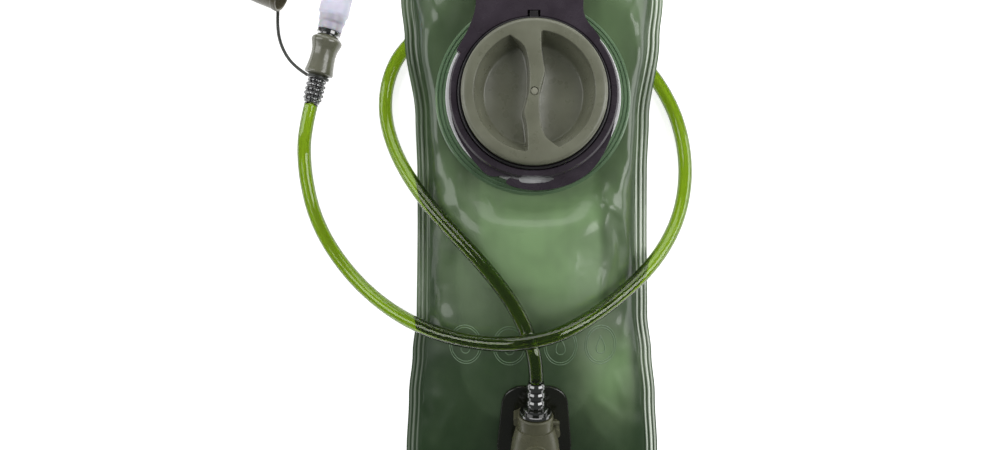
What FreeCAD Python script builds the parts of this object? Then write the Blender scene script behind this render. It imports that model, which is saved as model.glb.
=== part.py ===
"""Wide-mouth hydration bladder with screw cap, plug-in drinking hose and bite valve.

The bladder lies on its back on the floor, z = 0. +X is its right, +Y points to its
top edge (the filling end) and +Z is up, out of its front. The origin is below the
middle of the bladder. Each physical piece is written to parts/NAME.step. All in mm.
"""
import FreeCAD
import Part
import math
import os

V = FreeCAD.Vector

# ---- bladder ------------------------------------------------------------------------
BLADDER_LENGTH = 350.0
CORNER_R = 24.0
FILM_T = 0.8
SEAM_Z = 21.0             # height of the weld plane
WELD_W = 8.0              # width of the welded border
FRONT_RISE = 25.0         # dome of the front film above the weld plane
BACK_DEPTH = 34.0         # depth the back film would hang to if the floor were not there
WELD_GAP = 0.1            # the films' faces in the weld
FLOOR_CUT = 0.3           # how far the back film is pressed flat
# half widths of the bladder along its length, bottom to top: (y, half width)
HALF_WIDTHS = [(-175, 81.0), (-148, 82.5), (-112, 81.0), (-84, 78.5), (-58, 75.8),
               (0, 75.2), (35, 75.3), (70, 76.4), (122, 83.5), (148, 86.0), (175, 84.5)]
HANG_HOLE_R = 4.0
HANG_HOLE_X = 62.0
HANG_HOLE_Y = 169.0

# ---- filling port, on a vertical axis -------------------------------------------------
PORT_Y = 81.5
HOLE_R = 58.0             # hole in the front film
FLANGE_R = 62.5
FLANGE_Z = 40.0           # top of the weld flange
PORT_SEAT_Z = 34.9        # level of the film under the flange's rim
NECK_R = 41.0
NECK_BORE_R = 38.0
NECK_FOOT_R = 55.5
NECK_TOP_Z = 49.0
FRAME_R_IN = 47.6
FRAME_R_OUT = 52.8
FRAME_TOP_Z = 52.0
SWIVEL_R = 47.2
CAP_R = 45.0
CAP_TOP_Z = 60.0
CAP_FLOOR_Z = 44.0        # floor of the recess in the cap
CAP_WALL_T = 2.0
CAP_SEAT_Z = 50.8         # underside of the rim, on the gasket
RECESS_R_TOP = 37.0
RECESS_R_FLOOR = 31.5
THREAD_LEAD = 16.0
THREAD_STARTS = 6

# ---- outlet, on an axis that follows the slope of the film ---------------------------------
OUTLET_X = 1.2
OUTLET_Y = -127.6
OUTLET_Z = 30.5           # film plane at the outlet's own origin
OUTLET_SLOPE = 17.0       # degrees
PLATE_GAP = 0.55          # from the film to the plate above it
PLATE_TOP_S = 27.3        # ends of the base plate along the outlet's axis
PLATE_LOW_S = -29.0
AXIS_H = 13.2             # height of the plug's axis above the film plane
STEM_R = 4.2
BUTTON_R = 6.5
BUTTON_S = -9.0           # place of the button along the outlet's axis

# ---- hose ---------------------------------------------------------------------------------
HOSE_R = 4.6
HOSE_BORE_R = 3.2
HOSE_ROUTE = [
    (1.2, -96.2, 53.9), (1.0, -85.6, 56.8), (-2.0, -72.6, 57.2), (-8.0, -57.5, 54.2),
    (-18.0, -41.5, 52.0), (-32.6, -23.6, 49.6), (-49.7, -5.8, 44.0), (-66.5, 12.4, 35.0),
    (-82.0, 33.0, 25.0), (-93.6, 54.8, 13.0), (-99.4, 76.4, 6.0), (-97.8, 97.5, 4.7),
    (-89.0, 117.5, 4.7), (-70.0, 134.5, 4.7), (-42.0, 146.5, 4.7), (-8.0, 150.5, 4.7),
    (27.0, 145.5, 4.7), (58.0, 128.5, 4.7), (82.2, 104.0, 4.7), (96.8, 79.6, 4.7),
    (103.4, 56.7, 5.5), (104.6, 33.2, 8.5), (99.9, 9.8, 14.0), (89.5, -10.5, 23.0),
    (74.0, -29.0, 33.5), (52.3, -46.4, 44.5), (30.0, -59.0, 60.5), (10.8, -67.2, 67.8),
    (-13.9, -71.7, 67.8), (-38.9, -71.9, 55.5), (-63.0, -68.2, 40.0), (-89.0, -58.6, 24.0),
    (-113.8, -42.2, 9.5), (-133.2, -20.3, 4.8), (-145.9, 2.8, 4.7), (-152.4, 27.0, 4.7),
    (-154.3, 50.0, 6.4), (-151.5, 67.2, 10.3), (-147.9, 81.6, 10.6)]

# ---- mouthpiece, lying on the floor ------------------------------------------------------
MOUTH_START = HOSE_ROUTE[-1]
MOUTH_YAW = -14.0         # degrees from +Y
SLEEVE_L = 19.0
BODY_END = 46.8
CORE_R = 5.5
CORE_BORE_R = 3.0
BITE_START = 50.4
BITE_END = 88.0
DUST_CAP_MOUTH = (-166.4, 154.8, 12.8)
DUST_CAP_YAW = 69.1       # degrees from +Y to the cap's closed end
DUST_CAP_R = 12.5
DUST_CAP_L = 30.0
LEASH_R = 1.1
LEASH_ROUTE = [(-171.6, 145.6, 6.2), (-173.0, 137.5, 2.6), (-172.0, 127.0, 2.0),
               (-168.0, 117.0, 2.2), (-160.4, 107.6, 4.8), (-150.8, 101.1, 10.0)]


# ---- helpers ------------------------------------------------------------------------------
def lathe(profile, centre=(0.0, 0.0)):
    """Solid turned about a vertical axis from a closed list of (radius, z) points."""
    points = [V(r, 0, z) for r, z in profile]
    points.append(points[0])
    solid = Part.Face(Part.makePolygon(points)).revolve(V(0, 0, 0), V(0, 0, 1), 360)
    solid.translate(V(centre[0], centre[1], 0))
    return solid


def cylinder(radius, low, high, x=0.0, y=0.0):
    return Part.makeCylinder(radius, high - low, V(x, y, low))


def tube(outer, inner, low, high, x=0.0, y=0.0):
    return cylinder(outer, low, high, x, y).cut(cylinder(inner, low - 1, high + 1, x, y))


def block(x, y, z):
    """Box between the given (low, high) pairs."""
    return Part.makeBox(x[1] - x[0], y[1] - y[0], z[1] - z[0], V(x[0], y[0], z[0]))


def smooth_outline(points):
    """Closed face inside one smooth curve through (x, y) points."""
    curve = Part.BSplineCurve()
    curve.interpolate([V(x, y, 0) for x, y in points], PeriodicFlag=True)
    return Part.Face(Part.Wire(curve.toShape()))


def polar(radius, degrees, centre=(0.0, PORT_Y)):
    angle = math.radians(degrees)
    return (centre[0] + radius * math.cos(angle), centre[1] + radius * math.sin(angle))


def rounded_slab(corners, radius, low, high):
    """Slab over a convex quadrilateral whose upright edges are rounded."""
    wire = Part.makePolygon([V(x, y, low) for x, y in corners + corners[:1]])
    slab = Part.Face(wire).extrude(V(0, 0, high - low))
    upright = [e for e in slab.Edges if abs(e.tangentAt(e.FirstParameter).z) > 0.99]
    return slab.makeFillet(radius, upright)


def along(start, yaw):
    """Placement that turns a lathed piece from +Z onto a level axis through start."""
    turn = FreeCAD.Rotation(V(0, 0, 1), yaw) * FreeCAD.Rotation(V(1, 0, 0), -90)
    return FreeCAD.Placement(V(*start), turn)


def on_mouthpiece(profile):
    solid = lathe(profile)
    solid.Placement = along(MOUTH_START, MOUTH_YAW)
    return solid


def on_outlet(solid):
    """Moves a piece built over (x, s, h) onto the sloping film at the outlet."""
    placed = solid.copy()
    turn = FreeCAD.Rotation(V(1, 0, 0), OUTLET_SLOPE)
    move = FreeCAD.Placement(V(OUTLET_X, OUTLET_Y, OUTLET_Z), turn)
    placed.Placement = move * placed.Placement
    return placed


def along_plug(profile):
    """Solid turned about the plug's axis, in the outlet's own (x, s, h) space."""
    solid = lathe(profile)
    solid.rotate(V(0, 0, 0), V(1, 0, 0), -90)
    solid.translate(V(0, 0, AXIS_H))
    return solid


def rounded_path(points):
    """Straight runs joined by the largest tangent arcs, and the radii of the arcs."""
    corners = [V(*p) for p in points]
    edges = []
    radii = []
    last = corners[0]
    for before, here, after in zip(corners, corners[1:], corners[2:]):
        back = (before - here).normalize()
        ahead = (after - here).normalize()
        cut = 0.45 * min((before - here).Length, (after - here).Length)
        half_turn = (math.pi - back.getAngle(ahead)) / 2
        radius = cut / math.tan(half_turn)
        radii.append(radius)
        start = here + back * cut
        end = here + ahead * cut
        middle = (back + ahead).normalize()
        top = here + middle * (radius / math.cos(half_turn) - radius)
        edges.append(Part.LineSegment(last, start).toShape())
        edges.append(Part.Arc(start, top, end).toShape())
        last = end
    edges.append(Part.LineSegment(last, corners[-1]).toShape())
    return Part.Wire(edges), radii


def swept_tube(route, outer, bore=0.0):
    path, radii = rounded_path(route)
    start = V(*route[0])
    heading = V(*route[1]) - start
    ring = Part.Face(Part.Wire(Part.makeCircle(outer, start, heading)))
    solid = path.makePipe(ring)
    if bore:
        solid = solid.cut(path.makePipe(Part.Face(Part.Wire(Part.makeCircle(bore, start, heading)))))
    return solid, path, radii


# ---- bladder films ----------------------------------------------------------------------------
def half_width(y):
    """Half the width of the bladder at y, smooth between the stations."""
    stations = HALF_WIDTHS
    for (y0, w0), (y1, w1) in zip(stations, stations[1:]):
        if y <= y1:
            f = (y - y0) / (y1 - y0)
            return w0 + (w1 - w0) * f * f * (3 - 2 * f)
    return stations[-1][1]


def corner_loss(y):
    """How far the rounded corners pull the side edge in at y."""
    into = abs(y) - (BLADDER_LENGTH / 2 - CORNER_R)
    if into <= 0:
        return 0.0
    return CORNER_R - math.sqrt(max(CORNER_R ** 2 - into ** 2, 0.0))


def smooth_floor(value, blend):
    """The larger of value and 0, with a rounded change between the two."""
    if value <= -blend:
        return 0.0
    if value >= blend:
        return value
    return (value + blend) ** 2 / (4 * blend)


def fade(distance, full, none):
    """1 up to the distance full, then smoothly down to 0 at the distance none."""
    f = min(max((distance - full) / (none - full), 0.0), 1.0)
    return 1 - f * f * (3 - 2 * f)


def bell(distance, width):
    return math.exp(-(distance / width) ** 2)


def front_height(x, y):
    """Height of the front film's outer face above the weld plane."""
    inner = half_width(y) - WELD_W
    length = BLADDER_LENGTH / 2 - WELD_W
    port = bell(y - PORT_Y, 56.0)
    rise = FRONT_RISE - (FRONT_RISE - 20.0) * port
    across = 1 - abs(x / inner) ** (2.4 + 11.0 * port)
    ends = 1 - abs(y / length) ** (9.0 if y > 0 else 3.0)
    swell = rise * max(across, -0.5) * max(ends, -0.5)
    if across < 0 and ends < 0:
        swell = -abs(swell)
    slope = OUTLET_Z - SEAM_Z + (y - OUTLET_Y) * math.tan(math.radians(OUTLET_SLOPE))
    flat = fade(abs(y - OUTLET_Y), 31.0, 52.0) * fade(abs(x - OUTLET_X), 26.0, 50.0)
    height = FILM_T + smooth_floor(swell * (1 - flat) + (slope - FILM_T) * flat, 1.2)
    above_seat = height - (PORT_SEAT_Z - SEAM_Z)
    if above_seat <= 0:
        return height
    return height - above_seat * fade(math.hypot(x, y - PORT_Y), FLANGE_R + 2, FLANGE_R + 28)


def back_drop(x, y):
    """How far the back film hangs below the weld plane before the floor stops it."""
    inner = half_width(y) - WELD_W
    length = BLADDER_LENGTH / 2 - (24.0 if y > 0 else WELD_W)
    across = 1 - abs(x / inner) ** 2.4
    ends = 1 - abs(y / length) ** 4
    swell = BACK_DEPTH * max(across, -0.5) * max(ends, -0.5)
    if across < 0 and ends < 0:
        swell = -abs(swell)
    hang = SEAM_Z - WELD_GAP - smooth_floor(swell, 1.2) - FILM_T
    return smooth_floor(hang + FLOOR_CUT, 3.0) - FLOOR_CUT


def film_rows():
    """Stations along the bladder, closer together round the corners."""
    top = BLADDER_LENGTH / 2
    corner = [top - CORNER_R * (1 - math.cos(math.radians(a))) for a in (0, 22, 45, 68)]
    steps = 22
    reach = top - CORNER_R
    straight = [-reach + 2 * reach * i / steps for i in range(steps + 1)]
    return [-y for y in corner] + straight + corner[::-1]


FILM_COLUMNS = [0.0, 0.14, 0.28, 0.42, 0.54, 0.65, 0.74, 0.81, 0.86, 0.90, 0.94, 1.0]


def film_surface(height):
    """Smooth surface z = height(x, y) over the outline of the bladder."""
    columns = [-c for c in FILM_COLUMNS[:0:-1]] + FILM_COLUMNS
    grid = []
    for y in film_rows():
        width = half_width(y) - corner_loss(y)
        grid.append([V(c * width, y, height(c * width, y)) for c in columns])
    surface = Part.BSplineSurface()
    surface.interpolate(grid)
    return surface


def film_solid(upper, lower):
    """Solid sheet between two heights over the outline."""
    top = film_surface(upper)
    bottom = film_surface(lower)
    faces = [top.toShape(), bottom.toShape()]
    u0, u1, v0, v1 = top.bounds()
    w0, w1, t0, t1 = bottom.bounds()
    rims = [(top.uIso(u0), bottom.uIso(w0)), (top.uIso(u1), bottom.uIso(w1)),
            (top.vIso(v0), bottom.vIso(t0)), (top.vIso(v1), bottom.vIso(t1))]
    for a, b in rims:
        faces.append(Part.makeRuledSurface(a.toShape(), b.toShape()))
    shell = Part.makeShell(faces)
    shell.sewShape()
    solid = Part.Solid(Part.Shell(shell.Faces))
    if solid.Volume < 0:
        solid.reverse()
    return solid


def hang_holes():
    return [cylinder(HANG_HOLE_R, 0, 60, side * HANG_HOLE_X, HANG_HOLE_Y) for side in (-1, 1)]


def front_film():
    film = film_solid(lambda x, y: SEAM_Z + front_height(x, y),
                      lambda x, y: SEAM_Z + front_height(x, y) - FILM_T)
    film = film.cut(cylinder(HOLE_R, 0, 80, 0, PORT_Y))
    drain = cylinder(8.0, -30, 30, 0, -20)
    film = film.cut(on_outlet(drain))
    return film.cut(Part.makeCompound(hang_holes()))


def back_film():
    film = film_solid(lambda x, y: back_drop(x, y) + FILM_T, back_drop)
    floor = block((-200, 200), (-200, 200), (-5, 0))
    return film.cut(floor).cut(Part.makeCompound(hang_holes()))


# ---- filling port --------------------------------------------------------------------------
def fill_flange():
    """Weld flange: a disc in the film's hole, with three moulded rings on its rim."""
    rim = [(NECK_R + 0.2, 37.6), (54.0, 36.4), (HOLE_R, 34.4), (HOLE_R, 35.4),
           (FLANGE_R, 35.4), (FLANGE_R, 36.2)]
    for r in (61.0, 58.6, 56.4):
        z = 36.4 + (FLANGE_R - r) * 0.42
        rim += [(r + 0.8, z), (r + 0.2, z + 1.1), (r - 0.5, z + 1.1), (r - 1.0, z + 0.4)]
    rim += [(NECK_FOOT_R, FLANGE_Z), (NECK_R + 0.2, FLANGE_Z)]
    return lathe(rim, (0, PORT_Y))


def thread_lug(start_angle):
    """One raised thread on the neck, a short piece of a steep helix."""
    turn = 34.0
    rise = THREAD_LEAD * turn / 360
    sections = []
    steps = 4
    for i in range(steps + 1):
        f = i / steps
        angle = math.radians(start_angle + turn * f)
        low = 43.0 + rise * f
        corners = [(NECK_R - 0.4, low), (NECK_R + 0.8, low + 0.5),
                   (NECK_R + 0.8, low + 1.3), (NECK_R - 0.4, low + 1.8)]
        wire = [V(r * math.cos(angle), PORT_Y + r * math.sin(angle), z) for r, z in corners]
        sections.append(Part.makePolygon(wire + wire[:1]))
    return Part.makeLoft(sections, True)


def fill_neck():
    """Threaded neck that stands on the flange, with a wide clear foot."""
    neck = lathe([(NECK_BORE_R, 36.5), (NECK_R, 36.5), (NECK_R, FLANGE_Z), (NECK_FOOT_R, FLANGE_Z),
                  (NECK_FOOT_R, FLANGE_Z + 1.2), (NECK_FOOT_R - 0.4, FLANGE_Z + 1.6),
                  (NECK_R, FLANGE_Z + 1.6), (NECK_R, NECK_TOP_Z - 0.6), (NECK_R - 0.6, NECK_TOP_Z),
                  (NECK_BORE_R, NECK_TOP_Z)], (0, PORT_Y))
    for i in range(THREAD_STARTS):
        neck = neck.fuse(thread_lug(i * 360 / THREAD_STARTS))
    return neck.removeSplitter()


FRAME_FOOT_Z = FLANGE_Z + 1.6
LOBE_TOP_Z = 49.0
KEY_HALF_W = 2.5
NOTCH_HALF_W = 4.0


def handle_loop():
    """Grip above the ring: a flat D with an opening for two fingers."""
    outer = smooth_outline([(-47, 110), (-39.5, 124), (-36, 137), (-37, 151), (-34, 163), (-22, 170),
                            (-2.5, 171.5), (17, 170), (29, 163), (32, 151), (30.5, 137), (32.5, 127),
                            (41, 115), (20, 112), (-2, 111), (-24, 111)])
    opening = smooth_outline([(-27, 152), (-24, 161), (-2.5, 163.5), (19, 161), (22, 152),
                              (18, 145), (-2.5, 143), (-23, 145)])
    low, high = 45.0, 52.0
    loop = outer.extrude(V(0, 0, high - low))
    hole = opening.extrude(V(0, 0, high - low + 2))
    loop.translate(V(0, 0, low))
    hole.translate(V(0, 0, low - 1))
    return loop.cut(hole)


def finger_tab():
    """Lobe that grows out of the ring on the right and ends free on the left."""
    outer = [(52.0, -12), (54.0, -24), (56.6, -38), (59.4, -52), (60.3, -66), (60.2, -80),
             (59.8, -92), (59.0, -102), (57.0, -107.6), (54.8, -106.4), (54.0, -102), (53.4, -97)]
    inner = [(50.0, -90), (49.5, -60), (49.5, -30)]
    return smooth_outline([polar(r, a) for r, a in outer + inner])


def side_lobe():
    """Shorter lobe on the left; a split parts it from the finger tab."""
    outer = [(52.0, -172), (53.6, -158), (54.8, -140), (57.0, -126), (57.9, -119.5),
             (56.6, -115), (54.4, -111), (53.2, -106)]
    inner = [(50.0, -104), (49.5, -125), (49.5, -150)]
    return smooth_outline([polar(r, a) for r, a in outer + inner])


def finger_slot():
    """Lens-shaped opening through the finger tab, blunt on the left, drawn out on the right."""
    outline = smooth_outline([(-9.0, 28.6), (-7.4, 30.3), (-3.0, 30.5), (2.0, 30.4), (7.0, 30.6),
                              (11.2, 30.3), (12.9, 29.4), (10.6, 27.6), (5.0, 26.3), (-1.0, 25.9),
                              (-6.4, 26.3), (-8.6, 27.2)])
    return outline.extrude(V(0, 0, FRAME_TOP_Z + 10))


def grip_frame():
    """Stiff ring round the neck with the grip above and the lobes below."""
    ring = lathe([(FRAME_R_IN, FRAME_FOOT_Z), (FRAME_R_OUT, FRAME_FOOT_Z),
                  (FRAME_R_OUT, FRAME_TOP_Z - 1.5), (FRAME_R_OUT - 1.2, FRAME_TOP_Z),
                  (FRAME_R_IN + 0.6, FRAME_TOP_Z), (FRAME_R_IN, FRAME_TOP_Z - 0.6)], (0, PORT_Y))
    pieces = [handle_loop()]
    for outline in (finger_tab(), side_lobe()):
        lobe = outline.extrude(V(0, 0, LOBE_TOP_Z - FRAME_FOOT_Z))
        lobe.translate(V(0, 0, FRAME_FOOT_Z))
        pieces.append(lobe)
    inside = cylinder(FRAME_R_IN + 1, 0, 80, 0, PORT_Y)
    frame = ring.fuse([piece.cut(inside) for piece in pieces])
    notch = block((-NOTCH_HALF_W, NOTCH_HALF_W), (PORT_Y + 40, PORT_Y + 51.5),
                  (FRAME_FOOT_Z + 2.0, 60))
    return frame.cut(finger_slot()).cut(notch).removeSplitter()


def swivel_ring():
    """Ring that the cap turns in; a key holds it in the frame's notch."""
    ring = lathe([(43.5, 47.4), (44.6, 46.6), (SWIVEL_R, 46.6), (SWIVEL_R, 53.0),
                  (SWIVEL_R - 0.5, 53.6), (45.9, 53.6), (45.4, 53.0), (45.4, 49.4), (43.5, 49.4)],
                 (0, PORT_Y))
    key = block((-KEY_HALF_W, KEY_HALF_W), (PORT_Y + 46.0, PORT_Y + 50.6), (46.6, 53.4))
    return ring.fuse(key).removeSplitter()


def cap_shell():
    """Deep dish with a rim that carries the threaded skirt."""
    base = CAP_FLOOR_Z - CAP_WALL_T
    return lathe([(41.95, 43.4), (43.1, 43.4), (44.1, 44.4), (44.1, 45.2), (43.1, 46.2),
                  (43.1, 50.0), (44.6, 50.0), (CAP_R, 50.6), (CAP_R, 57.8), (44.3, 59.3),
                  (42.6, CAP_TOP_Z), (39.0, CAP_TOP_Z), (RECESS_R_TOP, 59.2),
                  (RECESS_R_FLOOR, CAP_FLOOR_Z), (0, CAP_FLOOR_Z), (0, base),
                  (RECESS_R_FLOOR, base), (RECESS_R_FLOOR + 1.6, base + 1.2),
                  (35.7, CAP_SEAT_Z), (41.95, CAP_SEAT_Z)], (0, PORT_Y))


def grip_bar():
    """S-shaped bar across the recess, the same when turned half a turn."""
    right = [(3.5, 0.0), (4.4, 6.0), (6.5, 12.5), (5.2, 19.0), (4.4, 26.0), (4.2, 37.6)]
    left = [(-16.5, 36.0), (-11.5, 32.8), (-7.4, 29.0), (-4.6, 23.0), (-3.3, 14.0), (-3.3, 6.0)]
    upper = right + left
    points = upper + [(-x, -y) for x, y in upper]
    sides = (points[0:6], points[6:18], points[18:24] + points[0:1])
    edges = []
    for chain in sides:
        curve = Part.BSplineCurve()
        curve.interpolate([V(x, y, 0) for x, y in chain])
        edges.append(curve.toShape())
    ends = [Part.LineSegment(V(*points[i], 0), V(*points[i + 1], 0)).toShape() for i in (5, 17)]
    outline = Part.Wire(Part.__sortEdges__(edges + ends))
    foot = CAP_FLOOR_Z - 0.5
    bar = Part.Face(outline).extrude(V(0, 0, CAP_TOP_Z - foot - 0.4))
    bar.translate(V(0, PORT_Y, foot))
    room = lathe([(0, foot), (RECESS_R_FLOOR + 0.5, foot), (RECESS_R_TOP + 0.6, 59.0),
                  (RECESS_R_TOP + 0.6, CAP_TOP_Z), (0, CAP_TOP_Z)], (0, PORT_Y))
    return bar.common(room)


def fill_cap():
    cap = cap_shell().fuse(grip_bar())
    pocket = cylinder(2.4, CAP_TOP_Z - 2.4, 80, 0, PORT_Y)
    return cap.cut(pocket).removeSplitter()


def cap_centre_plug():
    return lathe([(0, CAP_TOP_Z - 2.4), (2.4, CAP_TOP_Z - 2.4), (2.4, CAP_TOP_Z - 0.8),
                  (2.0, CAP_TOP_Z - 0.2), (0, CAP_TOP_Z)], (0, PORT_Y))


def cap_gasket():
    return tube(41.6, 36.0, NECK_TOP_Z + 0.1, CAP_SEAT_Z, 0, PORT_Y)


# ---- outlet ---------------------------------------------------------------------------------
def outlet_base():
    """Smoky plate on the film that carries the socket, with a foot through the film."""
    plate = rounded_slab([(-25.5, PLATE_LOW_S), (25.5, PLATE_LOW_S), (20.0, PLATE_TOP_S),
                          (-20.0, PLATE_TOP_S)], 13.5, PLATE_GAP, 3.0)
    edges = [e for e in plate.Edges if e.BoundBox.ZMin > 2.9]
    plate = plate.makeFillet(1.1, edges)
    foot = cylinder(8.0, -3.6, PLATE_GAP, 0, -20)
    port = cylinder(5.0, -10, 10, 0, -20)
    well = cylinder(4.3, 1.5, 5.0, 0, BUTTON_S)
    return on_outlet(plate.fuse(foot).cut(port).cut(well).removeSplitter())


def outlet_backing_ring():
    return on_outlet(tube(14.0, 8.0, -3.6, -1.4, 0, -20))


def socket_section(s, half_x, half_h):
    """Ellipse round the plug's axis at s."""
    ellipse = Part.Ellipse(V(0, 0, 0), half_x, half_h)
    wire = Part.Wire(ellipse.toShape())
    wire.rotate(V(0, 0, 0), V(1, 0, 0), -90)
    wire.translate(V(0, s, AXIS_H))
    return wire


def socket_body():
    """Barrel that widens to its tail, with a mouth ring, a boss and a lug."""
    sections = [(-28.0, 9.5, 8.0), (-25.0, 13.5, 11.0), (-18.0, 15.4, 12.4), (-9.0, 15.2, 12.7),
                (0.0, 13.4, 12.2), (5.2, 12.0, 11.8)]
    barrel = Part.makeLoft([socket_section(*section) for section in sections], True)
    mouth = along_plug([(0, 4.0), (11.1, 4.0), (11.1, 12.9), (10.4, 13.7), (0, 13.7)])
    saddle = rounded_slab([(-12.5, -8), (12.5, -8), (10.5, 13.0), (-10.5, 13.0)], 3.0, 3.0, AXIS_H)
    boss = cylinder(3.4, 3.0, 15.5, 12.2, 1.2)
    pin = Part.makeCylinder(1.5, 5.0, V(10.0, 7.6, 13.0), V(1, 0, 0))
    lug = rounded_slab([(-13.6, 6.0), (-9.0, 4.0), (-9.0, 12.0), (-13.6, 10.5)], 1.2, 3.0, 13.0)
    collar = cylinder(BUTTON_R + 1.6, AXIS_H + 8, AXIS_H + 13.6, 0, BUTTON_S)
    body = barrel.fuse([mouth, saddle, boss, pin, lug, collar])
    return body.common(block((-30, 30), (-40, 40), (3.0, 60)))


def outlet_socket():
    bore = along_plug([(0, -21), (STEM_R + 0.25, -21), (STEM_R + 0.25, 20), (0, 20)])
    drain = cylinder(3.6, 0, AXIS_H, 0, -20)
    guide = cylinder(BUTTON_R + 0.08, AXIS_H + 4.3, 40, 0, BUTTON_S)
    plate_slot = block((-6.6, 6.6), (BUTTON_S - 1.0, BUTTON_S + 1.0), (3.0, AXIS_H + 6))
    spring_well = cylinder(4.3, 0, AXIS_H - 4.9, 0, BUTTON_S)
    solid = socket_body().cut(bore).cut(drain).cut(guide).cut(plate_slot).cut(spring_well)
    return on_outlet(solid)


def release_button():
    top = AXIS_H + 15.2
    low = AXIS_H + 6.0
    button = lathe([(0, low), (BUTTON_R, low), (BUTTON_R, top - 1.0), (BUTTON_R - 1.0, top),
                    (BUTTON_R - 2.2, top - 0.5), (0, top - 0.9)], (0, BUTTON_S))
    return on_outlet(button)


def latch_plate():
    """Steel plate below the button whose hole drops into the plug's groove."""
    plate = block((-6.0, 6.0), (BUTTON_S - 0.6, BUTTON_S + 0.6), (7.2, AXIS_H + 6.0))
    hole = Part.makeCylinder(4.8, 10, V(0, BUTTON_S - 5, AXIS_H + 1.3), V(0, 1, 0))
    return on_outlet(plate.cut(hole))


def button_spring():
    """Three turns of wire between the base plate and the latch plate."""
    wire_r = 0.35
    coil_r = 3.0
    pitch = 1.5
    turns = 3
    per_turn = 9
    route = []
    for i in range(turns * per_turn + 1):
        angle = 2 * math.pi * i / per_turn
        route.append((coil_r * math.cos(angle), BUTTON_S + coil_r * math.sin(angle),
                      2.1 + pitch * i / per_turn))
    return on_outlet(swept_tube(route, wire_r)[0])


GROOVE_S = (BUTTON_S - 1.6, BUTTON_S + 1.6)


def hose_plug():
    """Plug with a latch groove, two swivel discs and a beaded hose end."""
    outline = [(2.2, -19.0), (3.4, -19.0), (STEM_R, -17.5), (STEM_R, GROOVE_S[0]), (3.2, GROOVE_S[0]),
               (3.2, GROOVE_S[1]), (STEM_R, GROOVE_S[1]), (STEM_R, -4.0), (3.3, -4.0), (3.3, -2.2),
               (STEM_R, -2.2), (STEM_R, 2.0), (3.3, 2.0), (3.3, 3.8), (STEM_R, 3.8),
               (STEM_R, 14.2), (9.5, 14.2), (10.0, 14.7), (10.0, 16.2), (9.5, 16.6),
               (7.8, 16.6), (7.8, 18.6), (7.4, 19.0)]
    for i in range(3):
        start = 19.4 + 5.6 * i
        outline += [(4.9, start), (5.7, start + 1.2), (5.9, start + 2.6), (5.7, start + 4.0),
                    (4.9, start + 5.2)]
    outline += [(4.9, 36.6), (2.2, 36.6)]
    return on_outlet(along_plug(outline))


def plug_o_rings():
    rings = []
    for s in (-3.1, 2.9):
        ring = Part.makeTorus(3.85, 0.55, V(0, s, AXIS_H), V(0, 1, 0))
        rings.append(on_outlet(ring))
    return Part.makeCompound(rings)


# ---- hose and mouthpiece -----------------------------------------------------------------
def hose():
    solid, path, radii = swept_tube(HOSE_ROUTE, HOSE_R, HOSE_BORE_R)
    section = math.pi * (HOSE_R ** 2 - HOSE_BORE_R ** 2)
    print("hose length %.0f, volume / (section x length) %.4f" % (
        path.Length, solid.Volume / (section * path.Length)))
    print("hose radii " + " ".join("%.0f" % r for r in radii))
    return solid


def hose_sleeve():
    """Flexible ribbed sleeve between the hose and the valve body."""
    outline = [(3.3, 0.2), (5.2, 0.2), (5.6, 1.0)]
    for i in range(5):
        s = 2.0 + 3.2 * i
        swell = 5.9 + 0.7 * math.sin(math.pi * (i + 1) / 6)
        outline += [(swell - 0.7, s), (swell, s + 0.7), (swell, s + 1.7), (swell - 0.7, s + 2.4)]
    outline += [(5.6, SLEEVE_L), (3.3, SLEEVE_L)]
    return on_mouthpiece(outline)


def valve_body():
    return on_mouthpiece([(5.6, 23.0), (3.3, 22.0), (3.3, SLEEVE_L), (5.6, SLEEVE_L), (7.2, 21.4),
                          (9.0, 22.0), (9.3, 23.0), (9.1, 25.0), (8.4, 29.0), (8.15, 33.0),
                          (8.5, 37.0), (9.6, 40.6), (10.1, 42.0), (10.1, 43.6), (9.4, 44.6),
                          (7.4, 46.2), (6.6, BODY_END), (5.6, BODY_END)])


def valve_core():
    """Turning core: its neck runs in the valve body and carries the bite valve."""
    return on_mouthpiece([(CORE_BORE_R, 24.0), (CORE_R, 24.0), (CORE_R, 27.0), (4.7, 27.0),
                          (4.7, 28.4), (CORE_R, 28.4), (CORE_R, 47.8), (8.0, 47.8), (8.0, 49.8),
                          (CORE_R, 49.8), (CORE_R, 58.0), (6.1, 58.6), (6.1, 60.4), (5.0, 61.4),
                          (CORE_BORE_R, 61.4)])


def core_o_ring():
    ring = Part.makeTorus(5.1, 0.45, V(0, 0, 27.7), V(0, 0, 1))
    ring.Placement = along(MOUTH_START, MOUTH_YAW)
    return ring


def bite_section(s, half_x, half_z):
    """Ellipse across the mouthpiece axis at s."""
    big, small = max(half_x, half_z), min(half_x, half_z)
    ellipse = Part.Ellipse(V(0, 0, s), big, small)
    wire = Part.Wire(ellipse.toShape())
    return wire


def bite_valve():
    """Soft mouthpiece: round at the core, stepped wider, pressed flat at its tip."""
    shaft = lathe([(0, BITE_START), (7.8, BITE_START), (8.1, BITE_START + 1), (8.1, 55.0),
                   (9.0, 57.0), (9.0, 60.0), (10.0, 62.0), (10.0, 66.0), (0, 66.0)])
    tip = Part.makeLoft([bite_section(s, a, b) for s, a, b in (
        (65.9, 9.99, 9.98), (71.0, 9.9, 9.0), (78.0, 10.2, 7.2), (84.0, 10.2, 6.2),
        (BITE_END - 0.8, 9.6, 5.6))], True)
    valve = shaft.fuse(tip)
    socket = lathe([(0, 40), (CORE_R, 40), (CORE_R, 58.0), (6.1, 58.6), (6.1, 60.4), (5.0, 61.4),
                    (5.0, 80.0), (0, 83.0)])
    slit = block((-5.0, 5.0), (-0.25, 0.25), (78.0, 95.0))
    valve = valve.cut(socket).cut(slit)
    valve.Placement = along(MOUTH_START, MOUTH_YAW)
    return valve


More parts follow.
